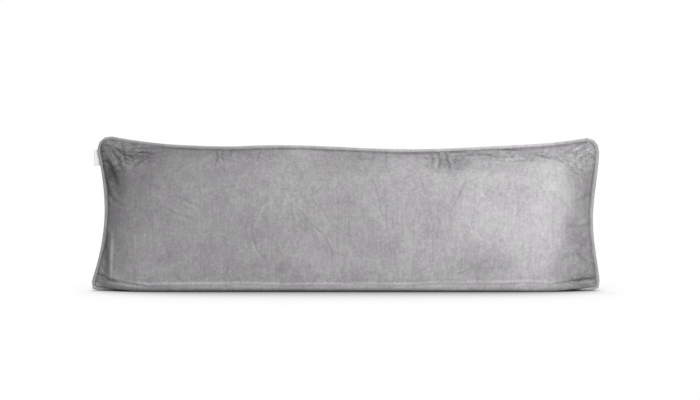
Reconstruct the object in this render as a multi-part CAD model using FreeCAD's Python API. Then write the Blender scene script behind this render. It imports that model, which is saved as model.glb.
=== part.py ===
"""A long piped velvet cushion, standing on one long edge.

The cover is a front panel and a two-piece back panel, sewn together round a corded piping, with
a zip across the back near the bottom.  A fibre-filled pad sits inside.  Millimetres, +X along the
length, -Y towards the front, +Z up, with the origin under the middle of the cushion on the floor.
"""
import FreeCAD, Part
import math
import os
from FreeCAD import Vector

# ---------------------------------------------------------------- the filled cushion
length = 1000.0             # across the piping at the bottom corners
height = 303.0              # across the piping at the top left corner
thickness = 108.0           # across the two faces where they are fattest
fat_height = 112.0          # the height of that fattest line above the floor
end_length = 195.0          # of each end, over which the section closes to the side seam
base_half = 27.0            # half of the flat that the filling's weight presses on the floor
base_press = 0.3            # how deep that flat is pressed into the velvet
bulge_power = 2.3           # roundness of the bulge from the flat up to the fattest line
crown_power = 3.0           # roundness from the fattest line up to the top seam
end_power = 4.2             # roundness from the straight stretch to the side seams
lift_power = 6.0            # how late the bottom lifts off the floor towards a corner
seam_valley = 9.0           # half width of the valley over the bottom piping

# ---------------------------------------------------------------- the outline of the seam
top_corner_radius = 24.0    # outside the piping
bottom_corner_radius = 13.0
rigid_rim = 28.0            # width along the seam that moves with it unstretched
top_sag = 21.0              # how far the top edge hangs between its corners
sag_power = 4.4
top_wave = 3.2              # slow wave along the slack top edge
top_wave_length = 480.0
top_wave_start = -248.0
right_top_drop = 3.5        # the right end stands this much lower than the left
waist_top = 0.9             # share of the height over which a side is drawn in
left_pull_in = 22.0         # how far the filling draws the left side in
left_waist_power = 0.9
left_top_tuck = 20.0        # how far the left top corner stands in from the bottom one
right_pull_in = 13.0
right_waist_power = 1.6
right_top_tuck = 4.0

# ---------------------------------------------------------------- cloth, cord and clearances
velvet = 1.0                # thickness of the velvet
piping_diameter = 6.0
piping_cloth = 1.0          # thickness of the velvet strip round the cord
cord_clearance = 0.05
flange_width = 7.0          # seam allowance of the piping strip, inside the cover
seam_gap = 0.4              # between the panels' edges and the stitching line
layer_gap = 0.3             # between two layers that lie on each other
pad_cloth = 0.8             # thickness of the pad's own case, a quilted cloth
pad_rim_gap = 5.0           # from the end of the seam allowance to the pad's edge
pad_edge = 0.5              # half thickness of the filling at the pad's edge
pad_lift = 0.5              # how far the pad stays off the bottom's velvet

# ---------------------------------------------------------------- zip
zip_height = 70.0           # height of the zip's centre line on the back
zip_margin = 220.0          # from the end of the chain to the cushion's end
element_height = 1.7
chain_half = 2.3            # half width of the chain
coil_parting = 0.05         # from the centre line to each row
tape_width = 13.0
tape_thickness = 0.6
tape_edge = 1.2             # from the centre line to the tape's edge
tape_end = 12.0             # how far the tape runs past the chain
slot_half = 4.2             # half width of the opening between the back panels
slot_end = 9.0              # how far the opening runs past the chain
stop_length = 2.5
stop_wall = 0.5
stop_play = 0.12            # between a stop and its tape's faces
stop_edge_play = 0.25       # between a stop and its tape's edge
zip_play = 0.2              # between the slider and the chain
slider_length = 12.0
slider_half = 4.6
slider_plate = 1.0
slider_lip = 0.9            # thickness of the side lips
lip_play = 0.5              # between the side lips and the chain
nose_post_length = 2.4
nose_post_half = 0.8
bridge_length = 6.0
bridge_half = 0.8
bridge_leg = 1.0
bridge_opening = 1.8
bridge_bar = 0.8
pull_length = 26.0
pull_half = 2.8
pull_tip_half = 3.4
pull_thickness = 1.2
pull_side_play = 0.4
pull_eye = 3.3              # length of the pull's eye
stitch_offset = 7.5         # from the zip's centre line to each row of stitching
thread = 0.5
zip_dent = 2.2              # how far the pad gives way behind the slider
zip_dent_width = 15.0

# ---------------------------------------------------------------- labels
side_label_height = 35.0
side_label_drop = 60.0      # from the cushion's top to the label's lower edge
side_label_out = 8.5        # how far it stands out past the piping
label_ply = 0.3
label_root = 2.5            # how far its root lies over the back panel's edge
care_label_width = 30.0
care_label_height = 40.0
care_label_x = -215.0
care_label_rise = 14.5      # from the zip's centre line to the label's lower edge

stations = 41               # surface points along the cushion
section_points = 49         # surface points round a section
tube_points = 8             # surface points round half of the piping
sewing = 0.01               # largest gap closed between patches
outline_points = 40         # points along each side of the seam

# ---------------------------------------------------------------- what follows from them
straight_half = length / 2 - end_length     # half of the stretch whose section is constant
seam_half = length / 2 - piping_diameter
seam_bottom = piping_diameter
seam_top = height - piping_diameter
piping_radius = piping_diameter / 2
flange_half = piping_cloth
half_thickness = thickness / 2
pad_inset = flange_width + pad_rim_gap
pad_front_depth = velvet + layer_gap
pad_back_depth = velvet + 2 * layer_gap + tape_thickness


def ease(t):
    """Rises smoothly from 0 to 1 as t does."""
    t = min(1.0, max(0.0, t))
    return t * t * (3 - 2 * t)


def top_drop(x):
    """How far the top seam hangs below the height of the left corner."""
    along = min(1.0, abs(x) / (length / 2 - top_corner_radius))
    slack = ease((x - top_wave_start) / 80) * (1 - along**sag_power)
    wave = top_wave * math.sin(2 * math.pi * (x - top_wave_start) / top_wave_length) * slack
    return top_sag * (1 - along**sag_power) - wave + right_top_drop * ease((x + 100) / (length / 2))


def side_draw(x, z):
    """How far a side seam is drawn in at a height."""
    up = min(1.0, max(0.0, z / height))
    waist = max(0.0, math.sin(math.pi * min(1.0, up / waist_top)))
    if x < 0:
        return left_pull_in * waist**left_waist_power + left_top_tuck * up
    return right_pull_in * waist**right_waist_power + right_top_tuck * up


def side_inset(x, z):
    """How far a side seam stands in from the bottom corner."""
    return side_draw(x, z) - side_draw(x, bottom_corner_radius)


def shaped(x, z):
    """Where the filled cushion holds a point of its flat outline."""
    at_end = ease((abs(x) - straight_half) / (length / 2 - rigid_rim - straight_half))
    at_top = ease((z - fat_height) / (height - rigid_rim - fat_height))
    inward = side_inset(x, z) * at_end
    return (x - math.copysign(inward, x), z - top_drop(x) * at_top)


class Layer:
    """One sheet of the cushion, from its seam over its crown, at a depth under the velvet."""

    def __init__(self, depth, inset, plane, dent=0.0, press=0.0):
        self.depth = depth
        self.half = half_thickness - depth
        self.plane = plane
        self.floor = depth - press
        self.seam_z = seam_bottom + inset
        self.top_z = seam_top - inset
        self.end_x = seam_half - inset
        self.base = base_half - depth
        self.dent = dent
        self.section = self.make_section()

    def bulge(self, z):
        """Half thickness between the flat and the fattest line."""
        down = min(1.0, max(0.0, (fat_height - z) / (fat_height - self.floor)))
        return self.base + (self.half - self.base) * (1 - down**bulge_power) ** (1 / bulge_power)

    def make_section(self):
        """Evenly spaced (y, z, share of the way round) from the bottom seam to the top seam."""
        line = []
        valley_end = flange_half + velvet + seam_valley + self.depth
        for k in range(30):
            t = k / 30
            line.append((self.plane + (valley_end - self.plane) * t,
                         self.floor + (self.seam_z - self.floor) * (1 + math.cos(math.pi * t)) / 2))
        for k in range(20):
            line.append((valley_end + (self.base - valley_end) * k / 20, self.floor))
        for k in range(90):
            turn = math.pi / 2 * k / 90
            line.append((self.base + (self.half - self.base) * math.sin(turn) ** (2 / bulge_power),
                         fat_height - (fat_height - self.floor) * math.cos(turn) ** (2 / bulge_power)))
        for k in range(121):
            t = k / 120
            line.append((self.plane + (self.half - self.plane) * (1 - t**crown_power),
                         fat_height + (self.top_z - fat_height) * t))
        run = [0.0]
        for a, b in zip(line, line[1:]):
            run.append(run[-1] + math.dist(a, b))
        points = []
        at = 0
        for k in range(section_points):
            goal = run[-1] * k / (section_points - 1)
            while at < len(run) - 2 and run[at + 1] < goal:
                at += 1
            t = (goal - run[at]) / (run[at + 1] - run[at])
            points.append((line[at][0] + (line[at + 1][0] - line[at][0]) * t,
                           line[at][1] + (line[at + 1][1] - line[at][1]) * t,
                           k / (section_points - 1)))
        return points

    def point(self, x, part, side):
        """A point of the layer: side is -1 at the front and 1 at the back."""
        out, up, share = part
        s = max(0.0, abs(x) - straight_half) / (self.end_x - straight_half)
        fullness = 1 - min(1.0, s) ** end_power
        standing = 1 - min(1.0, s) ** lift_power
        y = self.plane + (out - self.plane) * fullness
        z = (1 - standing) * (self.seam_z + (self.top_z - self.seam_z) * share) + standing * up
        if self.dent:
            y -= self.dent * fullness * math.exp(-(((z - zip_height) / zip_dent_width) ** 2))
        wide, tall = shaped(x, z)
        return Vector(wide, side * y, tall)

    def surface(self, side):
        rows = []
        for i in range(stations):
            x = self.end_x * (2 * i / (stations - 1) - 1)
            rows.append([self.point(x, part, side) for part in self.section])
        sheet = Part.BSplineSurface()
        sheet.interpolate(rows)
        return sheet


def closed_solid(faces):
    shell = Part.makeCompound(faces)
    shell.sewShape()
    solid = Part.makeSolid(shell.Shells[0])
    if solid.Volume < 0:
        solid.reverse()
    return solid


def between(first, second):
    """The closed solid between two surfaces, joined along their four edges."""
    faces = [first.toShape(), second.toShape()]
    u0, u1, v0, v1 = first.bounds()
    p0, p1, q0, q1 = second.bounds()
    for a, b in ((first.uIso(u0), second.uIso(p0)), (first.uIso(u1), second.uIso(p1)),
                 (first.vIso(v0), second.vIso(q0)), (first.vIso(v1), second.vIso(q1))):
        faces.append(Part.makeRuledSurface(a.toShape(), b.toShape()))
    return closed_solid(faces)


# ---------------------------------------------------------------- outline, corners and piping
def corner_arc(side, top, points=9):
    """Points of the seam's quarter arc at a corner, from the long edge to the short one."""
    radius = (top_corner_radius if top else bottom_corner_radius) - piping_diameter
    cx = side * (seam_half - radius)
    cz = seam_top - radius if top else seam_bottom + radius
    arc = []
    for k in range(points):
        turn = math.pi / 2 * k / (points - 1)
        arc.append((cx + side * radius * math.sin(turn),
                    cz + (1 if top else -1) * radius * math.cos(turn)))
    return arc


def seam_outline():
    """The stitching line, anticlockwise from the middle of the bottom, on the filled cushion."""
    corners = [corner_arc(1, False), corner_arc(1, True)[::-1],
               corner_arc(-1, True), corner_arc(-1, False)[::-1]]
    middle = (0.0, seam_bottom)
    ends = [middle] + [p for c in corners for p in (c[0], c[-1])] + [middle]
    flat = []
    for n in range(5):
        (ax, az), (bx, bz) = ends[2 * n], ends[2 * n + 1]
        steps = outline_points if n in (1, 2, 3) else outline_points // 2
        flat += [(ax + (bx - ax) * k / steps, az + (bz - az) * k / steps) for k in range(steps)]
        if n < 4:
            flat += corners[n][:-1]
    return [Vector(x, 0, z) for x, z in (shaped(*p) for p in flat)]


def offset_outline(line, out):
    """The closed line moved out by a true distance."""
    moved = []
    for k, p in enumerate(line):
        along = line[(k + 1) % len(line)] - line[k - 1]
        along.normalize()
        moved.append(p + Vector(along.z, 0, -along.x) * out)
    return moved


def corner_cutter(side, top):
    """What rounds a sharp corner of the panels, through their whole thickness."""
    arc = [Vector(x, 0, z) for x, z in (shaped(*p) for p in corner_arc(side, top))]
    curve = Part.BSplineCurve()
    curve.interpolate(arc)
    far_x = side * length
    far_z = 2 * height if top else -height
    ring = [arc[-1], Vector(far_x, 0, arc[-1].z), Vector(far_x, 0, far_z),
            Vector(arc[0].x, 0, far_z), arc[0]]
    edges = [curve.toShape()] + [Part.makeLine(a, b) for a, b in zip(ring, ring[1:])]
    face = Part.Face(Part.Wire(edges))
    cutter = face.extrude(Vector(0, 2 * thickness, 0))
    cutter.translate(Vector(0, -thickness, 0))
    return cutter


def round_corners(solid):
    for side in (-1, 1):
        for top in (False, True):
            solid = solid.cut(corner_cutter(side, top))
    return solid


def rings(radius):
    """Closed lines along the piping, evenly spaced round it: the first four run on its front."""
    line = seam_outline()
    lines = []
    for k in range(2 * tube_points):
        turn = math.pi * k / tube_points
        out = piping_radius + radius * math.cos(turn)
        lines.append([p + Vector(0, -radius * math.sin(turn), 0)
                      for p in offset_outline(line, out)])
    return lines


def tube(radius):
    """A closed tube round the piping's centre line, in four patches."""
    lines = rings(radius)
    lines.append(lines[0])
    count = len(lines[0])
    faces = []
    for first in (0, tube_points):
        for start, end in ((0, count // 2), (count // 2, count)):
            sheet = Part.BSplineSurface()
            sheet.interpolate([[line[i % count] for line in lines[first:first + tube_points + 1]]
                               for i in range(start, end + 1)])
            faces.append(sheet.toShape())
    shell = Part.makeCompound(faces)
    shell.sewShape(sewing)
    solid = Part.makeSolid(shell.Shells[0])
    if solid.Volume < 0:
        solid.reverse()
    return solid


def flat_ring(out, inward):
    """The closed flat band between two offsets of the seam's line."""
    wires = []
    for offset in (out, inward):
        curve = Part.BSplineCurve()
        curve.interpolate(Points=offset_outline(seam_outline(), offset), PeriodicFlag=True)
        wires.append(Part.Wire([curve.toShape()]))
    return Part.Face(wires)


def make_piping():
    """The strip is a tube round the cord with both its edges laid flat between the panels."""
    hollow = piping_radius - piping_cloth
    flange = flat_ring(piping_cloth / 2, -flange_width).extrude(Vector(0, 2 * flange_half, 0))
    flange.translate(Vector(0, -flange_half, 0))
    strip = tube(piping_radius).cut(tube(hollow)).fuse(flange)
    return {"piping_strip": strip, "piping_cord": tube(hollow - cord_clearance)}


# ---------------------------------------------------------------- panels and pad
def slab(x0, x1, y0, y1, z0, z1):
    return Part.makeBox(x1 - x0, y1 - y0, z1 - z0, Vector(x0, y0, z0))


def make_panels():
    outer = Layer(0.0, seam_gap, flange_half + velvet, press=base_press)
    inner = Layer(velvet, 2 * velvet, flange_half)
    over_floor = slab(-length, length, -thickness, thickness, 0, 2 * height)
    front = round_corners(between(outer.surface(-1), inner.surface(-1))).common(over_floor)
    back = round_corners(between(outer.surface(1), inner.surface(1))).common(over_floor)
    opening = slot_tool()
    lower = back.common(slab(-length, length, -thickness, thickness, 0, zip_height)).cut(opening)
    upper = back.common(slab(-length, length, -thickness, thickness, zip_height, 2 * height))
    return {"front_panel": front, "back_panel_lower": lower, "back_panel_upper": upper.cut(opening)}


def make_pad():
    def sheet(depth_front, depth_back, plane):
        inset = pad_inset + 2 * depth_front
        front = Layer(depth_front, inset, plane, press=-pad_lift)
        back = Layer(depth_back, inset, plane, dent=zip_dent, press=-pad_lift)
        return front.surface(-1), back.surface(1)

    inside = pad_cloth + 2 * layer_gap
    outer_front, outer_back = sheet(pad_front_depth, pad_back_depth, pad_edge + inside)
    inner_front, inner_back = sheet(pad_front_depth + pad_cloth, pad_back_depth + pad_cloth,
                                    pad_edge + layer_gap)
    fill_front, fill_back = sheet(pad_front_depth + inside, pad_back_depth + inside, pad_edge)
    return {"pad_case_front": between(outer_front, inner_front),
            "pad_case_back": between(outer_back, inner_back),
            "fibre_filling": between(fill_front, fill_back)}


# ---------------------------------------------------------------- zip
velvet_face = Layer(0.0, seam_gap, flange_half + velvet, press=base_press)
zip_y = velvet_face.bulge(zip_height)
zip_lean = math.atan(velvet_face.bulge(zip_height + 1) - velvet_face.bulge(zip_height - 1)) / 2
chain_end = length / 2 - zip_margin
opening_end = chain_end + slot_end
tape_out = -(velvet + layer_gap)            # heights over the velvet, along the zip's normal
tape_in = tape_out - tape_thickness
chain_foot = tape_out + 0.05
chain_top = chain_foot + element_height
plate_under = chain_top + zip_play
plate_top = plate_under + slider_plate
keel_top = tape_in - zip_play
hinge_out = plate_top + bridge_opening / 2 - 0.05
slider_nose = chain_end + nose_post_length + 0.3
slider_mid = slider_nose - slider_length / 2
bridge_mid = slider_mid


def on_zip(solid):
    """Places a piece drawn with X along the zip, Y out of the cushion and Z up the back."""
    placed = solid.copy()
    placed.rotate(Vector(0, 0, 0), Vector(1, 0, 0), -math.degrees(zip_lean))
    placed.translate(Vector(0, zip_y, zip_height))
    return placed


def slot_tool():
    """The opening between the two back panels."""
    return on_zip(slab(-opening_end, opening_end, -20, 20, -slot_half, slot_half))


def strip_on_back(depth, deep, x0, x1, z0, z1):
    """A strip of cloth that lies on the inside of the back, in its straight stretch."""
    steps = 8
    heights = [z0 + (z1 - z0) * k / steps for k in range(steps + 1)]
    curves = []
    for d in (depth, deep):
        layer = Layer(d, seam_gap, flange_half + velvet)
        curve = Part.BSplineCurve()
        curve.interpolate([Vector(x0, layer.bulge(z), z) for z in heights])
        curves.append(curve.toShape())
    ends = [(curves[0].valueAt(c0), curves[1].valueAt(c1)) for c0, c1 in
            zip(curves[0].ParameterRange, curves[1].ParameterRange)]
    lines = [Part.makeLine(a, b) for a, b in ends]
    face = Part.Face(Part.Wire(Part.__sortEdges__(curves + lines)))
    return face.extrude(Vector(x1 - x0, 0, 0))


def make_tapes():
    depth = velvet + layer_gap
    x0, x1 = -chain_end - tape_end, chain_end + tape_end
    low, high = zip_height - tape_edge, zip_height + tape_edge
    return {"zip_tape_lower": strip_on_back(depth, depth + tape_thickness, x0, x1,
                                            low - tape_width, low),
            "zip_tape_upper": strip_on_back(depth, depth + tape_thickness, x0, x1,
                                            high, high + tape_width)}


def coil(side):
    """One side's row of elements, as the strip that holds them all from tip to back."""
    z0, z1 = sorted((side * coil_parting, side * chain_half))
    return on_zip(slab(-chain_end, chain_end, chain_foot, chain_top, z0, z1))


def stop(x0, x1, s0, s1, tapes):
    """A bent metal clip round the edge of one tape or of both."""
    low, high = tape_in - stop_play, tape_out + stop_play
    clip = slab(x0, x1, low - stop_wall, high + stop_wall, s0, s1)
    for side in tapes:
        near = side * (tape_edge - stop_edge_play)
        z0, z1 = sorted((near, side * 20.0))
        clip = clip.cut(slab(x0 - 1, x1 + 1, low, high, z0, z1))
    return on_zip(clip)


def make_stops():
    x0 = slider_nose + zip_play
    inner, outer = tape_edge - stop_wall, chain_half
    pair = [stop(x0, x0 + stop_length, inner, outer, [1]),
            stop(x0, x0 + stop_length, -outer, -inner, [-1])]
    end = -chain_end - zip_play
    return {"zip_top_stops": Part.makeCompound(pair),
            "zip_bottom_stop": stop(end - stop_length, end, -chain_half, chain_half, [-1, 1])}


def make_slider():
    x0, x1 = slider_nose - slider_length, slider_nose
    plate = slab(x0, x1, plate_under, plate_top, -slider_half, slider_half)
    keel = slab(x0, x1, keel_top - slider_plate, keel_top, -slider_half, slider_half)
    body = plate.fuse(keel)
    body = body.makeFillet(1.8, [e for e in body.Edges
                                 if abs(e.tangentAt(e.FirstParameter).y) > 0.99])
    lip_in = chain_half + lip_play
    for side in (-1, 1):
        z0, z1 = sorted((side * lip_in, side * (lip_in + slider_lip)))
        lip = slab(x0 + 2, x1 - 2, tape_out + layer_gap, plate_under + 0.1, z0, z1)
        body = body.fuse(lip)
    post = slab(x1 - nose_post_length, x1, keel_top - 0.1, plate_under + 0.1,
                -nose_post_half, nose_post_half)
    b0, b1 = bridge_mid - bridge_length / 2, bridge_mid + bridge_length / 2
    top = plate_top + bridge_opening + bridge_bar
    bridge = slab(b0, b1, plate_top - 0.1, top, -bridge_half, bridge_half)
    bridge = bridge.makeFillet(bridge_bar, [e for e in bridge.Edges
                                            if abs(e.tangentAt(e.FirstParameter).z) > 0.99
                                            and e.CenterOfMass.y > top - 0.01])
    window = slab(b0 + bridge_leg, b1 - bridge_leg, plate_top, plate_top + bridge_opening, -9, 9)
    return {"zip_slider": on_zip(body.fuse([post, bridge.cut(window)]).removeSplitter())}


def make_pull():
    """The tab lies back over the closed chain; its cross bar turns under the slider's bridge."""
    bar = pull_thickness / 2
    eye_half = bridge_half + pull_side_play
    tip = bridge_mid - pull_length
    y = hinge_out - bar
    outline = [Vector(bridge_mid, y, -pull_half), Vector(bridge_mid, y, pull_half),
               Vector(tip, y, pull_tip_half), Vector(tip, y, -pull_tip_half)]
    tab = Part.Face(Part.makePolygon(outline + outline[:1])).extrude(Vector(0, pull_thickness, 0))
    tab = tab.makeFillet(2.5, [e for e in tab.Edges
                               if abs(e.tangentAt(e.FirstParameter).y) > 0.99
                               and e.CenterOfMass.x < tip + 1])
    eye = slab(bridge_mid - bar - pull_eye, bridge_mid + 5, y - 1, y + pull_thickness + 1,
               -eye_half, eye_half)
    cross = Part.makeCylinder(bar, 2 * pull_half, Vector(bridge_mid, hinge_out, -pull_half),
                              Vector(0, 0, 1))
    grip = Part.makeCylinder(1.6, 20, Vector(tip + 5, y - 5, 0), Vector(0, 1, 0))
    return {"zip_pull": on_zip(tab.cut(eye).fuse(cross).cut(grip).removeSplitter())}


def make_stitching():
    """A line of thread on the velvet along each side of the opening."""
    nodes = {}
    for name, side in (("zip_stitching_lower", -1), ("zip_stitching_upper", 1)):
        z = zip_height + side * stitch_offset
        y = velvet_face.bulge(z) + thread / 2 + 0.02
        x1 = chain_end + tape_end / 2
        nodes[name] = Part.makeCylinder(thread / 2, 2 * x1, Vector(-x1, y, z), Vector(1, 0, 0))
    return nodes


def make_zip():
    nodes = {"zip_coil_upper": coil(1), "zip_coil_lower": coil(-1)}
    for more in (make_tapes(), make_stops(), make_slider(), make_pull(), make_stitching()):
        nodes.update(more)
    return nodes


# ---------------------------------------------------------------- labels
def left_seam(z, out):
    """Where the left side's outline lies at a height, moved out by a distance."""
    line = [p for p in offset_outline(seam_outline(), out) if p.x < -straight_half]
    above = min((p for p in line if p.z >= z > seam_bottom + fat_height / 2), key=lambda p: p.z - z)
    below = min((p for p in line if p.z < z), key=lambda p: z - p.z)
    return below.x + (above.x - below.x) * (z - below.z) / (above.z - below.z)


def make_side_label():
    """A folded loop of ribbon, sewn in behind the piping near the left top corner."""
    z0 = height - side_label_drop
    z1 = z0 + side_label_height
    x_root, x_cord, x_out = (left_seam(z0, d) for d in (-label_root, piping_radius,
                                                        2 * piping_radius))
    lean = left_seam(z1, piping_radius) - x_cord
    behind = piping_radius + 2 * layer_gap
    root = flange_half + velvet + 2.6
    x_tip = x_out - side_label_out
    centre = [Vector(x_root, root, z0), Vector(x_cord, behind + label_ply, z0),
              Vector(x_out, behind - 0.4, z0), Vector(x_tip, behind - 1.6, z0)]
    curve = Part.BSplineCurve()
    curve.interpolate(centre)
    spread = []
    for k in range(13):
        p = curve.value(curve.FirstParameter + (curve.LastParameter - curve.FirstParameter) * k / 12)
        spread.append(p)
    near = [p + Vector(0, -label_ply, 0) for p in spread]
    far = [p + Vector(0, label_ply, 0) for p in spread]
    sides = []
    for row in (near, far):
        edge = Part.BSplineCurve()
        edge.interpolate(row)
        sides.append(edge.toShape())
    fold = Part.Arc(near[-1], spread[-1] + Vector(-label_ply, 0, 0), far[-1]).toShape()
    wire = Part.Wire(Part.__sortEdges__(sides + [fold, Part.makeLine(near[0], far[0])]))
    return Part.Face(wire).extrude(Vector(lean, 0, z1 - z0))


def make_care_label():
    z0 = zip_height + care_label_rise
    depth = velvet + 1.5 * layer_gap
    return strip_on_back(depth, depth + label_ply, care_label_x,
                         care_label_x + care_label_width, z0, z0 + care_label_height)


def make_all():
    nodes = make_panels()
    nodes.update(make_piping())
    nodes.update(make_pad())
    nodes.update(make_zip())
    nodes["side_label"] = make_side_label()
    nodes["care_label"] = make_care_label()
    return nodes


os.makedirs("parts", exist_ok=True)
for name, shape in make_all().items():
    shape.exportStep(f"parts/{name}.step")
    print(name, "valid" if shape.isValid() else "NOT VALID", len(shape.Solids),
          round(shape.Volume / 1000, 3), "cm3")
print("zip hinge at", round(bridge_mid, 3),
      round(zip_y + hinge_out * math.cos(zip_lean), 3),
      round(zip_height - hinge_out * math.sin(zip_lean), 3), "lean", round(math.degrees(zip_lean), 3))
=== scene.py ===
# %% [markdown]
# # A long velvet cushion with piping
# The object is a lumbar cushion that stands on one long edge. A velvet cover with piping round its
# seam holds a fibre-filled pad, and a zip across the back lets the pad out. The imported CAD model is
# the fixed frame. It could be dressed as it is, but plain solids have no folds, so the velvet, the
# piping, the label and the zip's small parts are modelled here over the same sizes.

# %% Opening the frame
import math

import bpy
import numpy as np
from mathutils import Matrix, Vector
from mathutils import noise as fields


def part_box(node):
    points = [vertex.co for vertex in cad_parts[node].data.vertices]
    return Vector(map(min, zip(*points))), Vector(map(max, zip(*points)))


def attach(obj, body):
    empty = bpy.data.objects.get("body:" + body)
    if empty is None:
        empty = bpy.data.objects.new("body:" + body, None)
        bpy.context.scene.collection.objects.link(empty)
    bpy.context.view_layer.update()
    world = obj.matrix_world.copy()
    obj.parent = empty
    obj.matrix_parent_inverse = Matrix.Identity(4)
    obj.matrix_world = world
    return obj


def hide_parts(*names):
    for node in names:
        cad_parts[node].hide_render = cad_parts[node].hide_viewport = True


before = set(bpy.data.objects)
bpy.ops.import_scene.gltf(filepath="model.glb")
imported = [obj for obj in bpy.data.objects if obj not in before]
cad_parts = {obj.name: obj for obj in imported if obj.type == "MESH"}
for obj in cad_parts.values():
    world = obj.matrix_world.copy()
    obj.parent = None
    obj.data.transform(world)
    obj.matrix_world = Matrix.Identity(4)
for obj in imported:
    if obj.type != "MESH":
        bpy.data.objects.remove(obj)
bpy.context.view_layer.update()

# %% [markdown]
# ## The sizes of the filled cushion
# The velvet has to lie where the CAD panels lie. It could be wrapped on to their triangles, but then
# their facets would show. The same few driving sizes, in millimetres, give a smooth surface instead.

# %% Driving sizes, in millimetres
LENGTH, HEIGHT, THICKNESS = 1000.0, 303.0, 108.0
FAT_HEIGHT = 112.0          # where the cushion is fattest
STRAIGHT_HALF = 305.0       # half of the stretch with one section
BASE_HALF = 27.0            # half of the flat on the floor
BULGE_POWER, CROWN_POWER, END_POWER, LIFT_POWER = 2.3, 3.0, 4.2, 6.0
VALLEY = 9.0                # half width of the valley over the bottom piping
PIPING = 6.0                # the piping's diameter
TOP_RADIUS, BOTTOM_RADIUS = 24.0, 13.0
RIM = 28.0
SEAM_X = LENGTH / 2 - PIPING
SEAM_LOW, SEAM_TOP = PIPING, HEIGHT - PIPING
VELVET = 1.0                # thickness of the velvet
ZIP_HEIGHT = 70.0
SAG, SAG_POWER = 21.0, 4.4  # the slack top edge
SAG_START, SAG_EASE = -248.0, 80.0
WAVE, WAVE_LENGTH = 3.2, 480.0
TILT, TILT_START = 3.5, -100.0              # the right half of the top edge hangs a little lower
LEFT_DRAW, LEFT_POWER, LEFT_TUCK = 22.0, 0.9, 20.0
RIGHT_DRAW, RIGHT_POWER, RIGHT_TUCK = 13.0, 1.6, 4.0
WAIST_TOP = 0.9             # share of the height where the drawn-in side ends


def ease(t):
    """Rises smoothly from 0 to 1 as t does."""
    t = np.clip(t, 0, 1)
    return t * t * (3 - 2 * t)


def top_drop(x):
    """How far the slack top edge hangs below its left corner."""
    along = np.minimum(1, abs(x) / (LENGTH / 2 - TOP_RADIUS))
    hang = 1 - along**SAG_POWER
    slack = ease((x - SAG_START) / SAG_EASE) * hang
    wave = WAVE * np.sin(2 * math.pi * (x - SAG_START) / WAVE_LENGTH) * slack
    return SAG * hang - wave + TILT * ease((x - TILT_START) / (LENGTH / 2))


def side_draw(x, z):
    """How far the filling draws a side seam in."""
    up = np.clip(z / HEIGHT, 0, 1)
    waist = np.maximum(0, np.sin(math.pi * np.minimum(1, up / WAIST_TOP)))
    left = LEFT_DRAW * waist**LEFT_POWER + LEFT_TUCK * up
    right = RIGHT_DRAW * waist**RIGHT_POWER + RIGHT_TUCK * up
    return np.where(x < 0, left, right)


def shaped(x, z):
    """Where the filled cushion holds a point of its flat outline."""
    at_end = ease((abs(x) - STRAIGHT_HALF) / (LENGTH / 2 - RIM - STRAIGHT_HALF))
    at_top = ease((z - FAT_HEIGHT) / (HEIGHT - RIM - FAT_HEIGHT))
    inward = (side_draw(x, z) - side_draw(x, BOTTOM_RADIUS)) * at_end
    return x - np.sign(x) * inward, z - top_drop(x) * at_top


print("lowest point of the top edge:", round(float(HEIGHT - top_drop(np.linspace(-300, 300, 99)).max()), 1))

# %% [markdown]
# ## The surface of a velvet panel
# A filled cover is flat only on the floor. From there it bulges, is fattest a third of the way up and
# runs in an arch to the top seam, and towards both ends it thins out to the side seams. It could be
# sculpted, but a formula keeps both faces, the piping and the zip on one surface.

# %% A point of the surface
PLANE = 2.0                 # where the velvet leaves the seam, from the middle plane
EDGE_GAP = 0.4


def section_line():
    """(y, z, share) from the bottom seam round the face to the top seam, evenly spaced."""
    half, end = THICKNESS / 2, PLANE + VALLEY
    t = np.arange(40) / 40
    line = [np.stack([PLANE + VALLEY * t, (SEAM_LOW + EDGE_GAP) * (1 + np.cos(math.pi * t)) / 2], 1),
            np.stack([end + (BASE_HALF - end) * t, 0 * t], 1)]
    turn = math.pi / 2 * np.arange(120) / 120
    line.append(np.stack([BASE_HALF + (half - BASE_HALF) * np.sin(turn) ** (2 / BULGE_POWER),
                          FAT_HEIGHT * (1 - np.cos(turn) ** (2 / BULGE_POWER))], 1))
    t = np.arange(161) / 160
    line.append(np.stack([PLANE + (half - PLANE) * (1 - t**CROWN_POWER),
                          FAT_HEIGHT + (SEAM_TOP - EDGE_GAP - FAT_HEIGHT) * t], 1))
    line = np.concatenate(line)
    run = np.concatenate([[0], np.cumsum(np.linalg.norm(np.diff(line, axis=0), axis=1))])
    return line[:, 0], line[:, 1], run / run[-1], run[-1]


SECTION_Y, SECTION_Z, SECTION_SHARE, GIRTH = section_line()
END_X = SEAM_X - EDGE_GAP


def round_corner(x, share):
    """Draws the panel's square corners in to the arcs of the seam."""
    for top in (False, True):
        radius = (TOP_RADIUS if top else BOTTOM_RADIUS) - PIPING
        run = GIRTH * ((1 - share) if top else share)
        a = np.clip((abs(x) - (END_X - radius)) / radius, 0, 1)
        b = np.clip(1 - run / radius, 0, 1)
        here = (a > 0) & (b > 0)
        new_x = END_X - radius + radius * a * np.sqrt(1 - b * b / 2)
        new_run = radius - radius * b * np.sqrt(1 - a * a / 2)
        x = np.where(here, np.sign(x) * new_x, x)
        new_share = new_run / GIRTH
        share = np.where(here, 1 - new_share if top else new_share, share)
    return x, share


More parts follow.
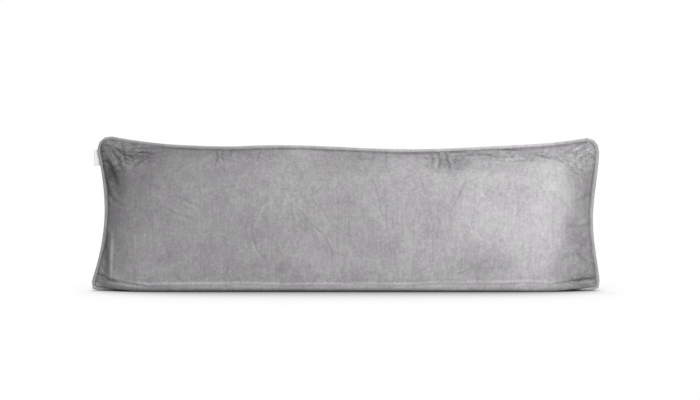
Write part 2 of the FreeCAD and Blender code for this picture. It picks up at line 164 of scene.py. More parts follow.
def surface(x, share, side):
    """Points of the cover: side is -1 at the front and 1 at the back."""
    x, share = round_corner(x, share)
    out = np.interp(share, SECTION_SHARE, SECTION_Y)
    up = np.interp(share, SECTION_SHARE, SECTION_Z)
    s = np.clip((abs(x) - STRAIGHT_HALF) / (END_X - STRAIGHT_HALF), 0, 1)
    fullness, standing = 1 - s**END_POWER, 1 - s**LIFT_POWER
    y = PLANE + (out - PLANE) * fullness
    level = SEAM_LOW + EDGE_GAP + (SEAM_TOP - SEAM_LOW - 2 * EDGE_GAP) * share
    z = (1 - standing) * level + standing * up
    wide, tall = shaped(x, z)
    return np.stack([wide, side * y, tall], -1)


print("girth of one face:", round(GIRTH, 1), "mm")

# %% [markdown]
# ## Tools for pieces
# Every piece starts as a primitive and is then shaped. These helpers add one with nothing else
# selected, move its vertices, and apply a modifier, so that each later cell stays short.

# %% Helpers
MM = 0.001


def add(operator, name, **sizes):
    """A new primitive, alone in the selection."""
    if bpy.context.mode != "OBJECT":
        bpy.ops.object.mode_set(mode="OBJECT")
    bpy.ops.object.select_all(action="DESELECT")
    operator(**sizes)
    piece = bpy.context.object
    piece.name = name
    return piece


def rows_of(piece, what):
    flat = np.empty(len(piece.data.vertices) * 3)
    piece.data.vertices.foreach_get(what, flat)
    return flat.reshape(-1, 3)


def corners_of(piece):
    """The piece's vertices as rows of x, y, z."""
    return rows_of(piece, "co")


def normals_of(piece):
    return rows_of(piece, "normal")


def place(piece, points):
    """Moves every vertex of the piece, in metres."""
    piece.data.vertices.foreach_set("co", np.ascontiguousarray(points).ravel())
    piece.data.update()


def modify(piece, kind, **values):
    """Adds a modifier and applies it."""
    bpy.ops.object.select_all(action="DESELECT")
    bpy.context.view_layer.objects.active = piece
    piece.select_set(True)
    modifier = piece.modifiers.new(kind.lower(), kind)
    for key, value in values.items():
        setattr(modifier, key, value)
    bpy.ops.object.modifier_apply(modifier=modifier.name)


def smooth(piece):
    piece.data.polygons.foreach_set("use_smooth", [True] * len(piece.data.polygons))


def face_outward(piece, merge=0.0):
    """Merges vertices closer than merge, in metres, and turns every face outward."""
    bpy.ops.object.mode_set(mode="EDIT")
    bpy.ops.mesh.select_all(action="SELECT")
    if merge:
        bpy.ops.mesh.remove_doubles(threshold=merge)
    bpy.ops.mesh.normals_make_consistent(inside=False)
    bpy.ops.object.mode_set(mode="OBJECT")


def add_rings(piece, place_at, along):
    """Cuts two more rings into a rod, place_at to either side of its middle."""
    bpy.ops.object.mode_set(mode="EDIT")
    for sign in (1, -1):
        bpy.ops.mesh.select_all(action="SELECT")
        bpy.ops.mesh.bisect(plane_co=sign * place_at * Vector(along), plane_no=along)
    bpy.ops.object.mode_set(mode="OBJECT")


def repeat(piece, count, pitch):
    """Repeats the piece along X, pitch in metres."""
    modify(piece, "ARRAY", count=count, use_relative_offset=False, use_constant_offset=True,
           constant_offset_displace=(pitch, 0, 0))


def finish_piece(piece, material, body="cushion", replaces=()):
    """Gives a piece its material, its place on a CAD body and the CAD nodes it stands for."""
    piece.data.materials.clear()
    piece.data.materials.append(material)
    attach(piece, body)
    if replaces:
        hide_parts(*replaces)
    print(piece.name, "faces:", len(piece.data.polygons))


# %% [markdown]
# ## Crushed velvet
# Velvet is dark where one looks into the pile and bright where the pile leans away, and crushed
# velvet leans a little differently every few millimetres. A picture of velvet would repeat and
# stretch. Layers of noise bend the surface instead: broad patches, finger marks and short scratches,
# with a soft sheen from the shader itself. The colour also carries painted light and shade: a slow
# change along the cushion, and the folds, crumples, seams and strokes kept with the mesh.

# %% Material helpers
def new_material(name, roughness, color=None):
    material = bpy.data.materials.new(name)
    material.use_nodes = True
    shader = material.node_tree.nodes["Principled BSDF"]
    shader.inputs["Roughness"].default_value = roughness
    if color:
        shader.inputs["Base Color"].default_value = (*color, 1)
    return material, material.node_tree, shader


def node(tree, kind, **values):
    """A node with its settings: names of sockets as input_NAME, others as attributes."""
    made = tree.nodes.new(kind)
    for key, value in values.items():
        if key.startswith("input_"):
            made.inputs[key[6:].replace("_", " ")].default_value = value
        else:
            setattr(made, key, value)
    return made


def noise(tree, scale, stretch, detail=4.0, rough=0.6, distort=0.0, turn=(0, 0, 0)):
    """Noise on the piece's own metres, stretched along an axis."""
    where = node(tree, "ShaderNodeTexCoord")
    fit = node(tree, "ShaderNodeMapping")
    fit.inputs["Scale"].default_value = stretch
    fit.inputs["Rotation"].default_value = turn
    texture = node(tree, "ShaderNodeTexNoise", input_Scale=scale, input_Detail=detail,
                   input_Roughness=rough, input_Distortion=distort)
    tree.links.new(where.outputs["Object"], fit.inputs["Vector"])
    tree.links.new(fit.outputs["Vector"], texture.inputs["Vector"])
    return texture.outputs["Fac"]


def ramp(tree, value, stops):
    made = node(tree, "ShaderNodeValToRGB")
    band = made.color_ramp
    while len(band.elements) < len(stops):
        band.elements.new(0.5)
    for element, (at, color) in zip(band.elements, stops):
        element.position = at
        element.color = (*color, 1)
    tree.links.new(value, made.inputs["Fac"])
    return made.outputs["Color"]


def mixed(tree, a, b, factor, kind="MIX"):
    """Two colours mixed. factor is a number or a socket."""
    made = node(tree, "ShaderNodeMix", data_type="RGBA", blend_type=kind)
    sockets = [s for s in made.inputs if s.type == "RGBA"]
    tree.links.new(a, sockets[0])
    tree.links.new(b, sockets[1])
    if isinstance(factor, (int, float)):
        made.inputs["Factor"].default_value = factor
    else:
        tree.links.new(factor, made.inputs["Factor"])
    return [s for s in made.outputs if s.type == "RGBA"][0]


def bump(tree, value, strength, distance, after=None):
    made = node(tree, "ShaderNodeBump", input_Strength=strength, input_Distance=distance)
    tree.links.new(value, made.inputs["Height"])
    if after:
        tree.links.new(after, made.inputs["Normal"])
    return made.outputs["Normal"]


# %% The velvet
def painted_light_along_cushion(tree):
    """Painted light and shade: a slow change of tone along the cushion, darker at the left end, brighter
    over the right half and darker again at the far right end.
    """
    where = node(tree, "ShaderNodeTexCoord")
    apart = node(tree, "ShaderNodeSeparateXYZ")
    tree.links.new(where.outputs["Object"], apart.inputs[0])
    wander = noise(tree, 7, (1.0, 1.0, 1.0), 3, 0.55, 0.4)
    shift = node(tree, "ShaderNodeMath", operation="MULTIPLY_ADD")
    shift.inputs[1].default_value, shift.inputs[2].default_value = 0.16, 0.42
    tree.links.new(wander, shift.inputs[0])
    total = node(tree, "ShaderNodeMath", operation="ADD")
    tree.links.new(apart.outputs["X"], total.inputs[0])
    tree.links.new(shift.outputs[0], total.inputs[1])
    tones = ((0.00, 0.80), (0.08, 0.84), (0.26, 0.90), (0.52, 0.96), (0.66, 1.06), (0.80, 1.19),
             (0.915, 1.22), (0.95, 0.95), (1.0, 0.90))
    return ramp(tree, total.outputs[0], [(at, (k, k * 0.995, k)) for at, k in tones])


def own(tree, name, offset=0.0, scale=1.0):
    """The piece's own number at each point, scaled and shifted; 0 where it has none."""
    kept = node(tree, "ShaderNodeAttribute", attribute_name=name)
    fit = node(tree, "ShaderNodeMath", operation="MULTIPLY_ADD")
    fit.inputs[1].default_value, fit.inputs[2].default_value = scale, offset
    tree.links.new(kept.outputs["Fac"], fit.inputs[0])
    return fit.outputs[0]


def scaled(tree, color, factor):
    made = node(tree, "ShaderNodeVectorMath", operation="SCALE")
    tree.links.new(color, made.inputs[0])
    tree.links.new(factor, made.inputs["Scale"])
    return made.outputs[0]


def make_velvet(name, shade, streak):
    """Crushed velvet of a grey shade. streak is the strength of its brush marks."""
    material, tree, shader = new_material(name, 0.75)
    patches = noise(tree, 15, (1.0, 1.0, 1.0), 3, 0.5, 0.6)
    marks = noise(tree, 75, (0.9, 1.0, 0.7), 5, 0.62, 0.9, (0, 0.4, 0))
    down = noise(tree, 210, (1.0, 1.0, 0.12), 4, 0.6, 0.6, (0, 0.12, 0))
    short = noise(tree, 340, (0.5, 1.0, 0.6), 3, 0.6, 1.2, (0, 0.8, 0))
    creased = noise(tree, 62, (0.75, 1.0, 1.35), 4, 0.58, 1.8, (0, -0.4, 0))
    color = ramp(tree, patches, [(0.34, (shade * 0.93, shade * 0.90, shade * 0.935)),
                                 (0.52, (shade, shade * 0.983, shade)),
                                 (0.70, (shade * 1.07, shade * 1.07, shade * 1.075))])
    fine = ramp(tree, marks, [(0.30, (0.89, 0.885, 0.89)), (0.5, (1, 1, 1)), (0.70, (1.10, 1.10, 1.10))])
    warp = ramp(tree, down, [(0.30, (1 - streak,) * 3), (0.70, (1 + streak,) * 3)])
    # painted shade and highlight for the fine creases of crumpled velvet
    crumple_light_and_shade = ramp(tree, creased, [(0.34, (0.66, 0.65, 0.66)), (0.47, (1, 1, 1)), (0.60, (1.28, 1.28, 1.29))])
    scratches = ramp(tree, short, [(0.32, (1 - 1.4 * streak,) * 3), (0.68, (1 + 1.4 * streak,) * 3)])
    # the last layer is painted light and shade along the cushion
    for layer in (fine, warp, scratches, painted_light_along_cushion(tree)):
        color = mixed(tree, color, layer, 1.0, "MULTIPLY")
    # painted shade and highlight where the velvet is crumpled
    color = mixed(tree, color, crumple_light_and_shade, own(tree, "crumple"), "MULTIPLY")
    # painted light and shade kept with the mesh: darker folds and seams, lighter ridges, and the strokes
    color = scaled(tree, color, own(tree, "painted_light_and_shade", 1.0))
    tree.links.new(color, shader.inputs["Base Color"])
    normal = bump(tree, patches, 0.3, 0.004)
    normal = bump(tree, marks, 0.5, 0.0011, normal)
    normal = bump(tree, down, 0.35, 0.0003, normal)
    normal = bump(tree, short, 0.5, 0.0004, normal)
    folded = node(tree, "ShaderNodeMath", operation="MULTIPLY")
    tree.links.new(creased, folded.inputs[0])
    tree.links.new(own(tree, "crumple"), folded.inputs[1])
    normal = bump(tree, folded.outputs[0], 1.0, 0.012, normal)
    tree.links.new(normal, shader.inputs["Normal"])
    shader.inputs["Specular IOR Level"].default_value = 0.25
    shader.inputs["Sheen Weight"].default_value = 0.45
    shader.inputs["Sheen Roughness"].default_value = 0.35
    shader.inputs["Sheen Tint"].default_value = (1.0, 0.99, 1.0, 1)
    return material


VELVET_CLOTH = make_velvet("velvet", 0.322, 0.10)
# painted highlight: the piping is the same velvet, given a lighter shade for the light it catches
PIPING_VELVET_LIT = make_velvet("velvet_piping_lit", 0.40, 0.08)
print("velvet nodes:", len(VELVET_CLOTH.node_tree.nodes))

# %% [markdown]
# ## The front panel
# One piece of velvet covers the front. It could be a subdivided box, but a grid whose rows run round
# the section and whose columns run along the cushion can follow both the bulge and the seams. The
# pleats could come from a cloth simulation, but it smooths tight velvet rather than gathers it.

# %% A panel from a grid
def panel_grid(name, columns, rows, low, high, side):
    """A grid on the cover between two shares of the girth, given for each column."""
    piece = add(bpy.ops.mesh.primitive_grid_add, name, x_subdivisions=columns, y_subdivisions=rows, size=2)
    flat = corners_of(piece)
    x = -side * flat[:, 0] * END_X
    t = (flat[:, 1] + 1) / 2
    lo = low(x) if callable(low) else low
    hi = high(x) if callable(high) else high
    share = lo + (hi - lo) * t
    place(piece, surface(x, share, side) * MM)
    return piece, x, share


# %% [markdown]
# ## Folds
# A cushion like this has its own folds: a fan where the corner was stuffed, pleats along the seam,
# a sag line over the floor. A simulation can't be told where to put them. Each fold is drawn as a
# line of a few points on the face, with a width and a depth, and pressed into the vertices along
# their normals with a soft ridge on either side.

# %% Pressing folds into velvet
# Painted shade and highlight: a fold is painted darker, and a ridge lighter, by this much for each
# millimetre.
FOLD_LIGHT_AND_SHADE = 0.07            # how much darker a fold is for each millimetre of its depth


def keep(piece, name, values):
    """Stores a number for each vertex, added to what the piece already holds."""
    held = piece.data.attributes.get(name)
    if held:
        before = np.empty(len(piece.data.vertices))
        held.data.foreach_get("value", before)
        values = values + before
    else:
        held = piece.data.attributes.new(name, "FLOAT", "POINT")
    held.data.foreach_set("value", values)


def distance_to_line(points, line):
    """Distance of each (x, z) to a polyline, and how far along it the nearest point is, 0 to 1."""
    line = np.array(line, float)
    legs = np.linalg.norm(np.diff(line, axis=0), axis=1)
    best = np.full(len(points), 1e9)
    along = np.zeros(len(points))
    done = 0.0
    for a, b, leg in zip(line, line[1:], legs):
        t = np.clip(((points - a) @ (b - a)) / leg**2, 0, 1)
        gap = np.linalg.norm(points - (a + t[:, None] * (b - a)), axis=1)
        nearer = gap < best
        best[nearer] = gap[nearer]
        along[nearer] = (done + t[nearer] * leg) / legs.sum()
        done += leg
    return best, along


def press_folds(piece, folds):
    """folds: (points in x and z, width, depth). A negative depth raises a ridge."""
    spots = corners_of(piece)
    normals = normals_of(piece)
    face = spots[:, [0, 2]] / MM
    push = np.zeros(len(spots))
    for line, width, depth in folds:
        gap, along = distance_to_line(face, line)
        fade = np.sin(math.pi * np.clip(0.08 + 0.84 * along, 0, 1)) ** 0.7
        groove = np.exp(-((gap / width) ** 2)) - 0.45 * np.exp(-(((gap - 1.9 * width) / width) ** 2))
        push -= depth * groove * fade
    edge = np.minimum(abs(spots[:, 2]) / (4 * MM), 1)
    place(piece, spots + normals * (push * edge)[:, None] * MM)
    # painted shade in the folds and painted highlight on their ridges
    keep(piece, "painted_light_and_shade", FOLD_LIGHT_AND_SHADE * push)


def gather(piece, x, share, depth, seed):
    """Small pleats that run in from the seams, in clusters, where the thread draws the velvet up."""
    spots = corners_of(piece)
    normals = normals_of(piece)
    low, top, ends = GIRTH * share, GIRTH * (1 - share), END_X - abs(x)
    to_seam = np.minimum(np.minimum(low, top), ends)
    at_end = ends < np.minimum(low, top)
    along = np.where(at_end, GIRTH * share + 3000, x) + np.where(top < low, 0, 7000)
    along = along + np.where(x < 0, 500, 0) * at_end
    waves = np.random.default_rng(seed)
    push = np.zeros(len(x))
    for length in (11.0, 15.0, 21.0, 29.0):
        phase, slow = waves.uniform(0, 2 * math.pi, 2)
        beat = np.sin(along / (4.6 * length) + slow) + 0.5 * np.sin(along / (1.9 * length))
        cluster = np.clip(0.15 + beat, 0, 1.5)
        crest = np.abs(np.sin(math.pi * along / length + phase + to_seam / 26)) ** 0.7 - 0.6
        push += crest * cluster * (length / 29) * np.exp(-to_seam / (1.15 * length))
    bite = to_seam / (to_seam + 3.5)
    corner = np.clip(1 - np.hypot(ends, np.minimum(low, top)) / 150, 0, 1)
    place(piece, spots + normals * (push * bite * depth * (1 + 1.6 * corner))[:, None] * MM)


FRONT_FOLDS = [
    # the fan in the top left corner
    ([(-430, 277), (-400, 279), (-366, 277)], 2.4, 1.7),
    ([(-427, 271), (-398, 271), (-372, 268)], 2.4, 1.5),
    ([(-418, 240), (-398, 256), (-375, 268)], 2.6, 1.8),
    ([(-466, 284), (-448, 262), (-433, 234)], 3.6, 3.0),
    ([(-456, 283), (-438, 268), (-416, 262)], 3.0, 2.4),
    ([(-470, 264), (-456, 240), (-448, 212)], 4.0, 3.2),
    ([(-440, 288), (-432, 265), (-430, 240)], 2.4, 2.0),
    ([(-478, 240), (-470, 215), (-461, 190)], 4.0, 2.6),
    ([(-468, 196), (-452, 176), (-432, 166)], 4.0, 1.4),
    # the crease up the left side, and the corner below it
    ([(-469, 112), (-469, 62), (-469, 28)], 5.0, 2.8),
    ([(-458, 120), (-458, 78), (-460, 22)], 2.3, -2.4),
    ([(-440, 84), (-450, 79), (-458, 73)], 2.2, 1.3),
    ([(-490, 34), (-470, 27), (-452, 19)], 3.0, 3.0),
    ([(-486, 24), (-440, 18), (-392, 11)], 2.6, 2.4),
    # the ridge along the bottom
    ([(-452, 19), (-380, 14), (-300, 16), (-214, 15)], 2.4, -1.2),
    ([(-230, 18), (-120, 14), (-40, 16), (30, 13)], 2.2, -1.0),
    ([(10, 17), (110, 15), (190, 19), (262, 17)], 2.2, -1.0),
    ([(236, 20), (300, 18), (356, 21), (404, 17)], 2.4, -1.2),
    # pleats under the top seam
    ([(-254, 279), (-251, 262), (-256, 246)], 2.4, 1.9),
    ([(-240, 279), (-243, 262), (-236, 248)], 2.4, 1.7),
    ([(-226, 280), (-225, 266), (-229, 252)], 2.2, 1.4),
    ([(-166, 281), (-169, 268), (-175, 254)], 2.2, 1.6),
    ([(77, 275), (79, 260), (76, 246)], 2.0, 1.4),
    ([(166, 275), (170, 256), (164, 236)], 2.6, 2.0),
    ([(180, 276), (185, 254), (179, 230)], 2.8, 2.4),
    ([(196, 276), (198, 258), (206, 236)], 2.6, 2.0),
    ([(206, 270), (226, 273), (248, 266)], 2.2, 1.6),
    ([(212, 262), (262, 268), (312, 261), (345, 266)], 2.6, 1.6),
    ([(250, 277), (300, 279), (352, 274), (398, 281)], 2.2, 1.5),
    ([(262, 258), (330, 254), (382, 258)], 2.2, 1.2),
    ([(345, 271), (372, 267), (398, 260)], 2.2, 1.7),
    ([(386, 264), (412, 259), (436, 246), (455, 226)], 2.6, 2.0),
    # the fan in the top right corner
    ([(440, 256), (458, 274), (482, 288)], 3.2, 2.6),
    ([(452, 246), (468, 262), (486, 276)], 3.0, 2.2),
    ([(430, 268), (448, 282), (466, 288)], 3.0, 2.2),
    ([(462, 279), (478, 269), (492, 256)], 2.4, 2.2),
    # the bottom right corner and the side above it
    ([(436, 19), (464, 22), (494, 23)], 2.6, 3.8),
    ([(404, 15), (430, 17), (452, 14)], 2.4, 1.6),
    ([(478, 52), (464, 62), (452, 78)], 4.0, 2.0),
    ([(480, 190), (456, 178), (430, 172)], 4.0, 1.6),
    ([(478, 130), (456, 126), (434, 130)], 4.0, 1.6),
    # slow marks on the face
    ([(-335, 188), (-312, 180), (-286, 168)], 3.2, 1.1),
    ([(-28, 81), (-29, 64), (-25, 49)], 2.2, 1.2),
    ([(-78, 143), (-64, 130), (-50, 118)], 2.2, 0.9),
    ([(44, 226), (52, 216), (60, 204)], 2.0, 0.9),
    ([(75, 214), (78, 170), (80, 124)], 2.0, 0.7),
    ([(86, 60), (88, 48), (92, 38)], 2.0, 0.8),
    ([(268, 208), (272, 192), (270, 178)], 2.6, 1.1),
    ([(-358, 168), (-330, 153), (-283, 138)], 2.6, 1.1),
    ([(-276, 187), (-250, 200), (-212, 210)], 2.4, 0.8),
    ([(-134, 200), (-166, 168), (-186, 122), (-173, 83), (-147, 51)], 2.4, 1.1),
    ([(-160, 187), (-179, 155), (-202, 122)], 2.4, 0.8),
    ([(-108, 190), (-106, 158), (-100, 136)], 2.2, 1.3),
    ([(-60, 128), (-43, 112), (-30, 84), (-24, 60)], 2.2, 1.1),
    ([(-172, 268), (-153, 256), (-134, 249)], 1.8, -1.2),
    ([(46, 232), (60, 200), (67, 161), (83, 122)], 2.2, 0.9),
    ([(219, 255), (235, 223), (219, 187), (200, 148)], 2.4, 1.1),
    ([(235, 223), (254, 206), (276, 190)], 2.2, 0.9),
    ([(332, 213), (336, 174), (331, 122)], 2.2, 0.8),
    ([(216, 31), (234, 42), (250, 50)], 2.2, 1.0),
    ([(146, 222), (150, 204), (158, 186)], 2.2, 0.9),
]
print("folds on the front:", len(FRONT_FOLDS))


# %% [markdown]
# ## Painted light and shade
# Soft ovals of painted light and shade lie on the front: shade over the floor, under the top seam
# and on the ends that turn from the light, light on the right half and on the ridge above the
# floor, with some of the pile's own darker and lighter strokes. They could be one painted picture,
# but a list of soft ovals, kept with the mesh as an attribute, follows the cloth.

# %% Strokes of painted light and shade
# Each is the middle in x and z, the half width and half height, the turn in degrees, the strength.
FRONT_LIGHT_AND_SHADE = [
    # broad, slow painted light and shade
    ((-360, 236), (130, 40), 0, -0.14),
    ((-398, 185), (28, 45), 0, -0.10),
    ((-464, 200), (34, 58), 0, -0.15),
    ((14, 246), (72, 20), 0, -0.13),
    ((285, 250), (96, 16), 0, -0.14),
    ((300, 150), (112, 54), 0, 0.09),
    ((362, 72), (34, 70), 0, 0.11),
    ((-55, 55), (60, 52), 0, 0.12),
    ((-395, 80), (34, 60), 0, 0.07),
    ((-250, 18), (190, 9), 0, 0.07),
    # the left end: painted shade where it turns from the light, some painted light lower down
    ((-476, 246), (19, 44), 8, -0.30),
    ((-448, 220), (18, 36), 22, -0.26),
    ((-420, 272), (66, 16), -6, -0.16),
    ((-458, 160), (20, 50), 0, -0.08),
    ((-380, 250), (60, 30), 20, -0.08),
    ((-395, 30), (60, 24), 0, 0.10),
    ((-330, 60), (150, 60), 0, 0.05),
    ((-471, 64), (10, 56), 0, -0.20),
    ((-452, 66), (6, 50), 0, 0.08),
    ((-476, 26), (26, 9), -20, -0.04),
    # painted shade under the top seam
    ((-370, 277), (70, 8), 4, -0.14),
    ((-260, 270), (110, 12), 0, -0.16),
    ((-150, 268), (60, 14), 0, -0.08),
    ((50, 268), (90, 12), 0, -0.16),
    ((160, 270), (50, 14), 0, -0.08),
    ((204, 256), (32, 22), 0, -0.22),
    ((280, 270), (50, 10), 0, -0.22),
    ((370, 266), (52, 12), -6, -0.18),
    # painted light and shade on the right half and its end
    ((262, 52), (62, 24), 0, -0.17),
    ((385, 150), (40, 110), 0, 0.06),
    ((466, 112), (36, 88), 0, -0.07),
    ((480, 215), (14, 40), -12, -0.16),
    ((444, 262), (36, 24), 25, 0.22),
    ((482, 262), (12, 26), 0, 0.20),
    # painted shade over the floor, and a painted highlight on the ridge above it
    ((0, 0), (520, 4), 0, -0.72),
    ((-150, 14), (340, 7), 0, 0.26),
    ((0, 9), (440, 5), 0, 0.10),
    ((-126, 42), (14, 18), 0, -0.10),
    ((64, 36), (13, 8), -20, -0.10),
    ((-300, 17), (120, 5), 1, 0.07),
    ((40, 16), (120, 5), -1, 0.06),
    ((330, 20), (90, 6), 0, 0.09),
    ((466, 12), (34, 8), 0, 0.16),
    ((466, 27), (34, 6), 4, -0.26),
]
# Where the velvet is crumpled: the mask for its bumps and for the painted shade and highlight of its fine
# creases.
FRONT_CRUMPLES = [
    ((-452, 262), (46, 36), -25, 0.9),
    ((-405, 270), (56, 20), -10, 0.6),
    ((-470, 215), (20, 46), 0, 0.5),
    ((-240, 268), (44, 18), 0, 0.5),
    ((-165, 268), (26, 16), 0, 0.4),
    ((60, 268), (80, 12), 0, 0.35),
    ((200, 258), (56, 26), 0, 0.65),
    ((340, 268), (100, 16), 0, 0.6),
    ((462, 266), (44, 34), 25, 0.75),
    ((-475, 28), (30, 14), -20, 0.5),
    ((462, 70), (40, 60), 0, 0.35),
    ((470, 22), (34, 12), 0, 0.5),
]


def ovals(piece, marks):
    """The sum of soft ovals at each vertex."""
    spots = corners_of(piece)
    x, z = spots[:, 0] / MM, spots[:, 2] / MM
    total = np.zeros(len(spots))
    for (mid_x, mid_z), (wide, tall), turn, strength in marks:
        c, s = math.cos(math.radians(turn)), math.sin(math.radians(turn))
        a = ((x - mid_x) * c + (z - mid_z) * s) / wide
        b = ((z - mid_z) * c - (x - mid_x) * s) / tall
        total += strength * np.exp(-((a * a + b * b) ** 1.8))
    return total


# Painted shade along the seams: its strength, and its reach in millimetres.
SEAM_PAINTED_SHADE, SEAM_REACH = -0.42, 3.2


def paint_seam_shade(piece, x, share):
    """Painted shade: the velvet is darkened where it turns in under the piping."""
    to_seam = np.minimum(GIRTH * np.minimum(share, 1 - share), END_X - abs(x))
    keep(piece, "painted_light_and_shade", SEAM_PAINTED_SHADE * np.exp(-((to_seam / SEAM_REACH) ** 2)))


# %% Finishing a panel
def soften(piece, size, depth, seed):
    """Slow unevenness of the filling under the velvet."""
    spots = corners_of(piece)
    normals = normals_of(piece)
    shift = Vector((seed, 0, 0))
    push = np.array([fields.fractal(Vector(p) / size + shift, 0.8, 2.0, 3) for p in spots])
    edge = np.clip(spots[:, 2] / (25 * MM), 0, 1)
    place(piece, spots + normals * (push * edge * depth)[:, None])


HEM = 0.9                   # where the panel's edge lies under the piping, from the middle plane


def hem_under(piece, x, share, side):
    """Turns the outermost row in under the piping, so that no gap shows."""
    rim = (GIRTH * np.minimum(share, 1 - share) < 1) | (END_X - abs(x) < 1)
    spots = corners_of(piece)
    spots[rim, 1] = side * HEM * MM
    place(piece, spots)


def make_front():
    piece, x, share = panel_grid("cover_front", 300, 108, 0.0, 1.0, -1)
    hem_under(piece, x, share, -1)
    gather(piece, x, share, 2.1, 11)
    paint_seam_shade(piece, x, share)
    modify(piece, "SUBSURF", levels=1)
    press_folds(piece, FRONT_FOLDS)
    soften(piece, 0.11, 0.0016, 3.0)
    smooth(piece)
    modify(piece, "SOLIDIFY", thickness=VELVET * MM, offset=-1)
    # painted light and shade from the strokes
    keep(piece, "painted_light_and_shade", ovals(piece, FRONT_LIGHT_AND_SHADE))
    keep(piece, "crumple", ovals(piece, FRONT_CRUMPLES))
    finish_piece(piece, VELVET_CLOTH, replaces=["front_panel"])
    return piece


cover_front = make_front()

# %% [markdown]
# ## The back panels
# The back is cut across near the bottom and holds the zip. It could be one grid with a slot cut out
# of it, but a cut leaves ragged edges. Two grids that end on the zip's two edges give clean ones.

# %% Both back panels
SLOT_HALF, OPENING_END = 4.2, 289.0         # half of the zip's slot: its width, its length
PANELS_APART = 0.25                         # half of the gap where the panels meet past the zip


def share_at(height, x):
    """Where on the girth the cover stands at a height, column by column."""
    shares = np.linspace(0.1, 0.75, 400)
    found = {}
    for value in np.unique(np.round(x, 4)):
        levels = surface(np.full(400, value), shares, 1)[:, 2]
        found[value] = np.interp(height, levels, shares)
    return np.array([found[value] for value in np.round(x, 4)])


def slot_edge(direction):
    """The panel's edge along the zip: in the slot it stands off the middle, past it the panels meet."""
    def edge(x):
        open_here = abs(x) < OPENING_END
        off = np.where(open_here, SLOT_HALF, PANELS_APART)
        base = share_at(ZIP_HEIGHT, x)
        return base + direction * off / GIRTH
    return edge


def make_back(name, low, high, rows, node_name, seed):
    piece, x, share = panel_grid(name, 220, rows, low, high, 1)
    hem_under(piece, x, share, 1)
    gather(piece, x, share, 1.9, seed)
    paint_seam_shade(piece, x, share)
    modify(piece, "SUBSURF", levels=1)
    smooth(piece)
    modify(piece, "SOLIDIFY", thickness=VELVET * MM, offset=-1)
    finish_piece(piece, VELVET_CLOTH, replaces=[node_name])
    return piece


upper_edge, lower_edge = slot_edge(1), slot_edge(-1)
cover_back_upper = make_back("cover_back_upper", upper_edge, 1.0, 58, "back_panel_upper", 5)
cover_back_lower = make_back("cover_back_lower", 0.0, lower_edge, 24, "back_panel_lower", 9)

# %% [markdown]
# ## The pad inside
# The fibre pad is hidden in the cover, but it is a piece of its own. The CAD pad lies close under
# the velvet, where real folds would cut into it. A pad gives way, so one closed form, a little
# slimmer, stands for its case and its filling: a grid goes up the front and down the back, and its
# edges are merged.

# %% A softer pad
PAD_LONG, PAD_THICK, PAD_HIGH = 0.955, 0.80, 0.90       # shares of the cover's size
PAD_RAISED = 14.0


def make_pad():
    piece = add(bpy.ops.mesh.primitive_grid_add, "pad", x_subdivisions=120, y_subdivisions=90, size=2)
    flat = corners_of(piece)
    around = flat[:, 1] + 1
    front = around < 1
    share = np.where(front, around, 2 - around)
    skin = surface(flat[:, 0] * END_X, share, 1)
    depth = np.maximum(0, PAD_THICK * skin[:, 1] - 2.0)
    points = np.stack([PAD_LONG * skin[:, 0], np.where(front, -depth, depth),
                       PAD_RAISED + PAD_HIGH * skin[:, 2]], 1)
    place(piece, points * MM)
    face_outward(piece, merge=0.2 * MM)
    smooth(piece)
    finish_piece(piece, PAD, replaces=["pad_case_front", "pad_case_back", "fibre_filling"])
    return piece


# %% [markdown]
# ## The piping
# The piping is a cord in a bias strip of the same velvet, sewn in all the way round. A curve with a
# round bevel would be quick, but perfectly even. A ring of many narrow segments is laid along the
# seam instead, and pulled about a little: it wavers, and the strip puckers where the thread holds it.

# %% Laying a ring along the seam
PIPING_TAIL = 2.5           # how far the strip runs in between the panels, so that no light shows through


def seam_outline(steps):
    """The seam of the filled cushion, anticlockwise from the middle of the bottom, evenly spaced."""
    flat = []
    for side, top in ((1, False), (1, True), (-1, True), (-1, False)):
        radius = (TOP_RADIUS if top else BOTTOM_RADIUS) - PIPING
        turn = np.linspace(0, math.pi / 2, 40)
        if side * (1 if top else -1) > 0:
            turn = turn[::-1]
        middle = SEAM_TOP - radius if top else SEAM_LOW + radius
        arc = np.stack([side * (SEAM_X - radius + radius * np.sin(turn)),
                        middle + (1 if top else -1) * radius * np.cos(turn)], 1)
        flat.append(arc)
    corners = np.concatenate([[[0, SEAM_LOW]], *flat, [[0, SEAM_LOW]]])
    fine = [np.linspace(a, b, max(2, int(np.hypot(*(b - a)) / 1.5)), endpoint=False)
            for a, b in zip(corners, corners[1:])]
    flat = np.concatenate(fine)
    wide, tall = shaped(flat[:, 0], flat[:, 1])
    line = np.stack([wide, tall], 1)
    closed = np.concatenate([line, line[:1]])
    run = np.concatenate([[0], np.cumsum(np.linalg.norm(np.diff(closed, axis=0), axis=1))])
    at = np.linspace(0, run[-1], steps, endpoint=False)
    even = np.stack([np.interp(at, run, closed[:, k]) for k in (0, 1)], 1)
    return even, run[-1]


def outward(line):
    along = np.roll(line, -1, 0) - np.roll(line, 1, 0)
    along /= np.linalg.norm(along, axis=1, keepdims=True)
    return np.stack([along[:, 1], -along[:, 0]], 1)


